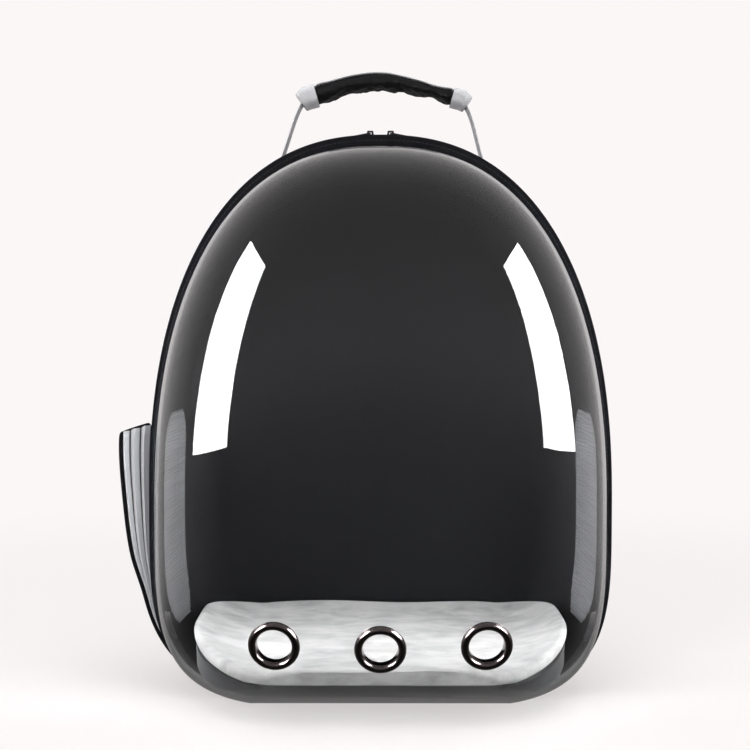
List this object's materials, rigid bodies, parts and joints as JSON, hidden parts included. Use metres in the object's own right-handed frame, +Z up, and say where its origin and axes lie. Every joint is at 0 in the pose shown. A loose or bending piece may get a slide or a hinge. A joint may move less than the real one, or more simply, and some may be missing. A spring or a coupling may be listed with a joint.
{
  "type": "bubble pet carrier backpack",
  "caption": "Backpack for carrying a small pet: a hollow fabric shell with a clear domed front, eyelet vents, mesh side windows, a side pocket, a top handle and shoulder straps.",
  "frame": {"origin": "on the surface it stands on, at the middle of the shell's flat underside", "axes": "+Z up, -Y out through the clear bubble, +Y towards the wearer's back, +X to the right of someone who looks at the bubble"},
  "size_m": [0.3618, 0.3182, 0.465],
  "materials": {
    "shell": "matte woven polyester over moulded foam",
    "padding": "matte padded air mesh",
    "trim": "satin grosgrain binding",
    "clear": "clear blown sheet",
    "gunmetal": "dark polished plate",
    "mat": "brushed short pile",
    "board": "matte fabric cover",
    "mesh": "open polyester net",
    "silver": "satin silver-grey nylon",
    "webbing": "woven nylon webbing",
    "plastic": "moulded acetal"
  },
  "bodies": {
    "carrier": {"shell": "shell", "shell_piping": "trim", "zip_tape": "trim", "zip_coil": "plastic", "bubble_binding": "trim", "bubble": "clear", "floor_board": "board", "floor_mat": "mat", "vent_eyelet_middle": "gunmetal", "pocket_gusset_front": "silver", "pocket_gusset_back": "silver", "pocket_edging": "trim", "pocket_panel": "shell", "handle_strap": "silver", "handle_grip": "shell", "back_pad": "padding", "strap_yoke": "webbing", "vent_eyelet_left": "gunmetal", "window_mesh_left": "mesh", "window_trim_left": "trim", "handle_cap_left": "silver", "zip_slider_left": "plastic", "shoulder_strap_left": "padding", "strap_buckle_left": "plastic", "adjuster_web_left": "webbing", "strap_foot_left": "webbing", "vent_eyelet_right": "gunmetal", "window_mesh_right": "mesh", "window_trim_right": "trim", "handle_cap_right": "silver", "zip_slider_right": "plastic", "shoulder_strap_right": "padding", "strap_buckle_right": "plastic", "adjuster_web_right": "webbing", "strap_foot_right": "webbing"},
    "pull_left": {"zip_pull_left": "plastic"},
    "pull_right": {"zip_pull_right": "plastic"}
  },
  "joints": [
    {"name": "zip_pull_left_swing", "type": "hinge", "parent": "carrier", "child": "pull_left", "pos_m": [-0.0074, -0.056, 0.4101], "axis": [0, 1, 0], "range_deg": [0, 110]},
    {"name": "zip_pull_right_swing", "type": "hinge", "parent": "carrier", "child": "pull_right", "pos_m": [0.0074, -0.056, 0.4101], "axis": [0, -1, 0], "range_deg": [0, 110]}
  ]
}
